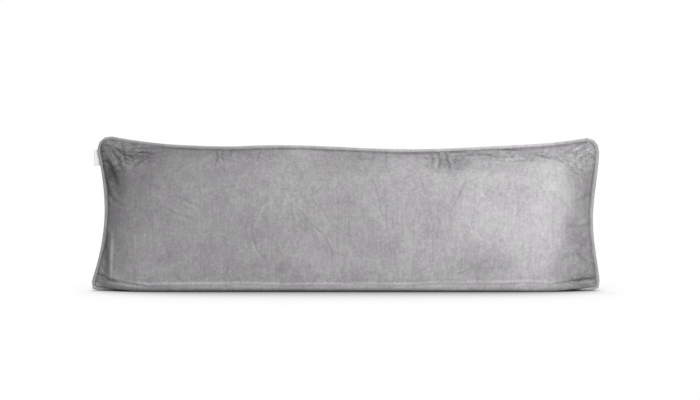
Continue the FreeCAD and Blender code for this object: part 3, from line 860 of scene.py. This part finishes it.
def make_piping():
    rings, sides = 1500, 14
    piece = add(bpy.ops.mesh.primitive_torus_add, "piping", major_segments=rings, minor_segments=sides,
                major_radius=1.0, minor_radius=0.1)
    line, total = seam_outline(rings)
    out = outward(line)
    spots = corners_of(piece)
    turn = np.arctan2(spots[:, 1], spots[:, 0])
    ring = np.round((turn % (2 * math.pi)) / (2 * math.pi) * rings).astype(int) % rings
    away = np.hypot(spots[:, 0], spots[:, 1]) - 1.0
    angle = np.arctan2(spots[:, 2], away)
    run = ring / rings * total
    waver = 0.30 * np.sin(run / 23) + 0.22 * np.sin(run / 9.7 + 1) + 0.15 * np.sin(run / 5.1 + 2)
    pucker = 0.10 * np.sin(run / 1.55 + 1.2 * angle) * np.clip(1 - np.cos(angle), 0, 1)
    pucker += 0.07 * np.sin(run / 0.83 + 2.0 * angle + 3 * np.sin(run / 31))
    radius = PIPING / 2 - 0.05 + pucker
    tail = np.cos(angle) < -0.99
    off = np.where(tail, -PIPING_TAIL, PIPING / 2 + radius * np.cos(angle))
    centre = line[ring] + out[ring] * off[:, None]
    above = np.clip((centre[:, 1] - 8) / 20, 0, 1) * ~tail
    y = -radius * np.sin(angle) + waver * above
    z = np.maximum(centre[:, 1], 0.05)
    place(piece, np.stack([centre[:, 0], y, z], 1) * MM)
    face_outward(piece)
    smooth(piece)
    finish_piece(piece, PIPING_VELVET_LIT, replaces=["piping_strip"])
    print("piping length:", round(total), "mm")
    return piece


piping = make_piping()

# %% [markdown]
# ## The side label
# A folded loop of white ribbon stands out of the left seam near the top. Flat boxes would look like
# card. A grid is folded over a rounded edge, bowed a little, and given the ribs of a woven ribbon by
# its material. It carries no words.

# %% Woven ribbon
def make_ribbon():
    material, tree, shader = new_material("label_ribbon", 0.6, (0.86, 0.86, 0.85))
    where = node(tree, "ShaderNodeTexCoord")
    ribs = node(tree, "ShaderNodeTexWave", wave_type="BANDS", bands_direction="Z", input_Scale=380.0,
                input_Distortion=0.4)
    tree.links.new(where.outputs["Object"], ribs.inputs["Vector"])
    color = ramp(tree, ribs.outputs["Fac"], [(0.0, (0.80, 0.80, 0.79)), (1.0, (0.92, 0.92, 0.91))])
    tree.links.new(color, shader.inputs["Base Color"])
    tree.links.new(bump(tree, ribs.outputs["Fac"], 0.5, 0.0002), shader.inputs["Normal"])
    return material


RIBBON = make_ribbon()
LABEL_INSIDE = 1.7          # how far the ribbon stays inside the plain label's box


def make_label():
    low, high = (np.array(v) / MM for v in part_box("side_label"))
    low, high = low + [LABEL_INSIDE, 0, LABEL_INSIDE], high - [0, 0, LABEL_INSIDE]
    piece = add(bpy.ops.mesh.primitive_grid_add, "label_loop", x_subdivisions=44, y_subdivisions=24, size=2)
    flat = corners_of(piece)
    t, up = flat[:, 0], (flat[:, 1] + 1) / 2
    reach = high[0] - low[0]
    x = low[0] + 0.5 + (reach - 1.0) * np.abs(t) ** 1.15
    run_in = (x - low[0]) / reach
    middle = high[1] - 0.7 - 2.2 * (1 - run_in) - 0.5 * np.sin(math.pi * up) * (1 - run_in)
    ply = 0.32 * np.tanh(6 * t)
    z = low[2] + 0.3 + (high[2] - low[2] - 0.6) * up + 0.5 * (1 - run_in) * np.sin(2.2 * up + 0.4)
    place(piece, np.stack([x, middle + ply, z], 1) * MM)
    smooth(piece)
    modify(piece, "SOLIDIFY", thickness=0.22 * MM, offset=0)
    finish_piece(piece, RIBBON, replaces=["side_label"])
    return piece


side_label = make_label()

# %% [markdown]
# ## The zip
# The zip is a nylon coil on woven tape. The CAD rows are plain strips. Real elements are loops of one
# thick thread, so one element is shaped from a short rod, slimmer at its ends, and repeated along
# each row, and every stitch of the two seams is a short thread of its own.

# %% Plain finishes of the small parts
def make_plain(name, color, roughness, metallic=0.0, scale=900, depth=0.0001):
    material, tree, shader = new_material(name, roughness, color)
    shader.inputs["Metallic"].default_value = metallic
    grain = noise(tree, scale, (1, 1, 1), 2)
    tree.links.new(bump(tree, grain, 0.3, depth), shader.inputs["Normal"])
    return material


TAPE = make_plain("zip_tape", (0.30, 0.29, 0.30), 0.8, scale=2500)
COIL = make_plain("zip_coil", (0.30, 0.29, 0.30), 0.35)
METAL = make_plain("zip_metal", (0.66, 0.66, 0.68), 0.25, 1.0, 400, 0.00005)
THREAD = make_plain("thread", (0.32, 0.31, 0.32), 0.6)
CORD = make_plain("piping_cord", (0.75, 0.73, 0.68), 0.9)
PAD = make_plain("pad_cloth", (0.85, 0.85, 0.83), 0.9, scale=1500)
FINISHES = {"zip_tape_upper": TAPE, "zip_tape_lower": TAPE, "zip_slider": METAL, "zip_pull": METAL,
            "zip_top_stops": METAL, "zip_bottom_stop": METAL, "piping_cord": CORD,
            "care_label": RIBBON}
for name, material in FINISHES.items():
    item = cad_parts[name]
    item.data.materials.clear()
    item.data.materials.append(material)
for name in ("zip_slider", "zip_pull"):
    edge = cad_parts[name].modifiers.new("edge", "BEVEL")
    edge.width, edge.segments, edge.limit_method = 0.15 * MM, 2, "ANGLE"
print("finished CAD pieces:", len(FINISHES))
pad = make_pad()

# %% The zip's own directions
ZIP_FACE_Y = float(surface(np.array([0.0]), share_at(ZIP_HEIGHT, np.array([0.0])), 1)[0, 1])
step_up = surface(np.zeros(2), share_at(ZIP_HEIGHT, np.zeros(1)) + np.array([-2, 2]) / GIRTH, 1)
lean = math.atan2(step_up[1, 1] - step_up[0, 1], step_up[1, 2] - step_up[0, 2])


def on_zip(points):
    """Turns points along the zip, out of the cushion and up the back into the frame, in metres."""
    along, out, up = points.T
    y = ZIP_FACE_Y + out * math.cos(lean) + up * math.sin(lean)
    z = ZIP_HEIGHT - out * math.sin(lean) + up * math.cos(lean)
    return np.stack([along, y, z], 1) * MM


print("the zip leans", round(math.degrees(lean), 2), "degrees")


# %% Rows of elements
ELEMENT_HALF, ELEMENT_RISE = 0.62, 0.80     # half of one loop along the zip, and out of it
ELEMENT_REACH, ELEMENT_BITE = 2.9, 0.75     # its length, and how far it bites past the middle
ELEMENT_OUT = -0.40                         # its middle, from the velvet's face


def make_coil(name, side, shift, replaced):
    pitch = 3.0
    low, high = (np.array(v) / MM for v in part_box(replaced))
    count = int((high[0] - low[0] - pitch) // pitch)
    piece = add(bpy.ops.mesh.primitive_cylinder_add, name, vertices=6, radius=1.0, depth=2.0,
                end_fill_type="NGON")
    add_rings(piece, 0.45, (0, 0, 1))
    rod = corners_of(piece)
    reach = (1 - rod[:, 2]) / 2
    end = np.isclose(abs(rod[:, 2]), 1)
    slim = np.where(end, 0.55, 1.0)
    along = rod[:, 0] * ELEMENT_HALF * slim
    up = side * (-ELEMENT_BITE + reach * ELEMENT_REACH)
    out = ELEMENT_OUT + rod[:, 1] * ELEMENT_RISE * slim
    start = shift - (count - 1) * pitch / 2
    place(piece, on_zip(np.stack([along + start, out, up], 1)))
    repeat(piece, count, pitch * MM)
    smooth(piece)
    finish_piece(piece, COIL, replaces=[replaced])
    return piece


coil_upper = make_coil("coil_upper", 1, -0.75, "zip_coil_upper")
coil_lower = make_coil("coil_lower", -1, 0.75, "zip_coil_lower")


# %% Rows of stitches
STITCH_TUCK = 0.35          # how far the ends of a stitch go into the velvet


def make_stitches(name, replaced):
    low, high = (np.array(v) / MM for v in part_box(replaced))
    pitch, long = 3.4, 2.7
    piece = add(bpy.ops.mesh.primitive_cylinder_add, name, vertices=6, radius=0.24 * MM, depth=long * MM,
                rotation=(0, math.pi / 2, 0), end_fill_type="NGON")
    bpy.ops.object.transform_apply(location=False, rotation=True, scale=False)
    add_rings(piece, 0.7 * MM, (1, 0, 0))
    spots = corners_of(piece)
    tucked = (abs(spots[:, 0]) / (long / 2 * MM)) ** 2
    spots[:, 1] -= STITCH_TUCK * MM * tucked
    centre = (low + high) / 2 * MM
    place(piece, spots + [low[0] * MM + long / 2 * MM, centre[1], centre[2]])
    repeat(piece, int((high[0] - low[0]) // pitch), pitch * MM)
    smooth(piece)
    finish_piece(piece, THREAD, replaces=[replaced])
    return piece


stitches_upper = make_stitches("stitches_upper", "zip_stitching_upper")
stitches_lower = make_stitches("stitches_lower", "zip_stitching_lower")

# %% [markdown]
# ## The studio
# The cushion stands on a white sweep in soft light. The large key light is near and to the right, so
# the right half is brighter, and the far end, which turns away from it, falls into shade; the
# velvet's painted light and shade adds to both. A darker world leaves a floor grey, so for the camera
# the floor glows white instead, with a painted shadow by how much of the sky the cushion hides from
# it, while the light falls on plain white paint.

# %% Floor
# Painted shadow: the camera sees the floor glow, darkened through these stops of ambient occlusion near the
# cushion.
FLOOR_PAINTED_SHADOW = [(0.0, 0.0), (0.45, 0.12), (0.50, 0.36), (0.56, 0.47), (0.62, 0.57), (0.68, 0.67), (0.73, 0.79),
         (0.80, 0.92), (0.86, 0.98), (0.92, 1.0)]


def make_floor():
    floor = add(bpy.ops.mesh.primitive_plane_add, "studio_floor", size=14)
    material = bpy.data.materials.new("studio_white")
    material.use_nodes = True
    tree = material.node_tree
    tree.nodes.clear()
    paint = node(tree, "ShaderNodeBsdfDiffuse", input_Color=(0.82, 0.82, 0.82, 1))
    near = node(tree, "ShaderNodeAmbientOcclusion", samples=32, input_Distance=0.5)
    # what the camera sees: a glow with the painted shadow
    glow_with_painted_shadow = node(tree, "ShaderNodeEmission")
    tree.links.new(ramp(tree, near.outputs["AO"], [(at, (k, k, k)) for at, k in FLOOR_PAINTED_SHADOW]),
                   glow_with_painted_shadow.inputs["Color"])
    path = node(tree, "ShaderNodeLightPath")
    both = node(tree, "ShaderNodeMixShader")
    out = node(tree, "ShaderNodeOutputMaterial")
    tree.links.new(path.outputs["Is Camera Ray"], both.inputs[0])
    tree.links.new(paint.outputs[0], both.inputs[1])
    tree.links.new(glow_with_painted_shadow.outputs[0], both.inputs[2])
    tree.links.new(both.outputs[0], out.inputs["Surface"])
    floor.data.materials.append(material)
    return floor


floor = make_floor()


# %% World
def make_world():
    world = bpy.data.worlds.new("studio")
    bpy.context.scene.world = world
    world.use_nodes = True
    tree = world.node_tree
    tree.nodes.clear()
    path = node(tree, "ShaderNodeLightPath")
    first = node(tree, "ShaderNodeMath", operation="MAXIMUM")
    tree.links.new(path.outputs["Is Camera Ray"], first.inputs[0])
    tree.links.new(path.outputs["Is Glossy Ray"], first.inputs[1])
    most = node(tree, "ShaderNodeMath", operation="MAXIMUM")
    tree.links.new(first.outputs[0], most.inputs[0])
    tree.links.new(path.outputs["Is Transmission Ray"], most.inputs[1])
    dim = node(tree, "ShaderNodeBackground", input_Color=(1, 1, 1, 1), input_Strength=0.42)
    white = node(tree, "ShaderNodeBackground", input_Color=(1, 1, 1, 1), input_Strength=1.0)
    mix = node(tree, "ShaderNodeMixShader")
    out = node(tree, "ShaderNodeOutputWorld")
    tree.links.new(most.outputs[0], mix.inputs[0])
    tree.links.new(dim.outputs[0], mix.inputs[1])
    tree.links.new(white.outputs[0], mix.inputs[2])
    tree.links.new(mix.outputs[0], out.inputs["Surface"])


make_world()


# %% Lamps
def soft_lamp(name, place_at, aim, power, wide, tall):
    lamp = add(bpy.ops.object.light_add, name, type="AREA", location=place_at)
    lamp.data.shape = "RECTANGLE"
    lamp.data.size, lamp.data.size_y = wide, tall
    lamp.data.energy = power
    lamp.rotation_euler = (Vector(aim) - Vector(place_at)).to_track_quat("-Z", "Y").to_euler()
    return lamp


soft_lamp("key", (0.62, -1.35, 0.95), (0.28, 0, 0.14), 17, 0.6, 0.6)
soft_lamp("fill", (-1.2, -2.6, 1.3), (-0.1, 0, 0.15), 12, 1.6, 1.2)
soft_lamp("top", (0.1, 0.3, 2.0), (0.05, 0, 0.2), 9, 2.0, 0.8)

# %% [markdown]
# ## The camera
# A long lens far away keeps the cushion's long edges straight, as in a catalogue picture. It stands
# a little above the middle of the cushion and looks almost level.

# %% Camera
AIM = Vector((0.0088, 0.0, 0.1777))
ELEVATION = math.radians(3.0)
DISTANCE = 6.0
FIELD = 1.374               # width of the view at the cushion, in metres
SENSOR = 36.0               # the camera's own millimetres


def make_camera():
    at = AIM + Vector((0, -math.cos(ELEVATION), math.sin(ELEVATION))) * DISTANCE
    camera = add(bpy.ops.object.camera_add, "camera", location=at)
    camera.rotation_euler = (AIM - at).to_track_quat("-Z", "Y").to_euler()
    camera.data.sensor_width = SENSOR
    camera.data.lens = SENSOR * DISTANCE / FIELD
    camera.data.clip_end = 50
    bpy.context.scene.camera = camera


make_camera()
bpy.context.scene.view_settings.view_transform = "Standard"
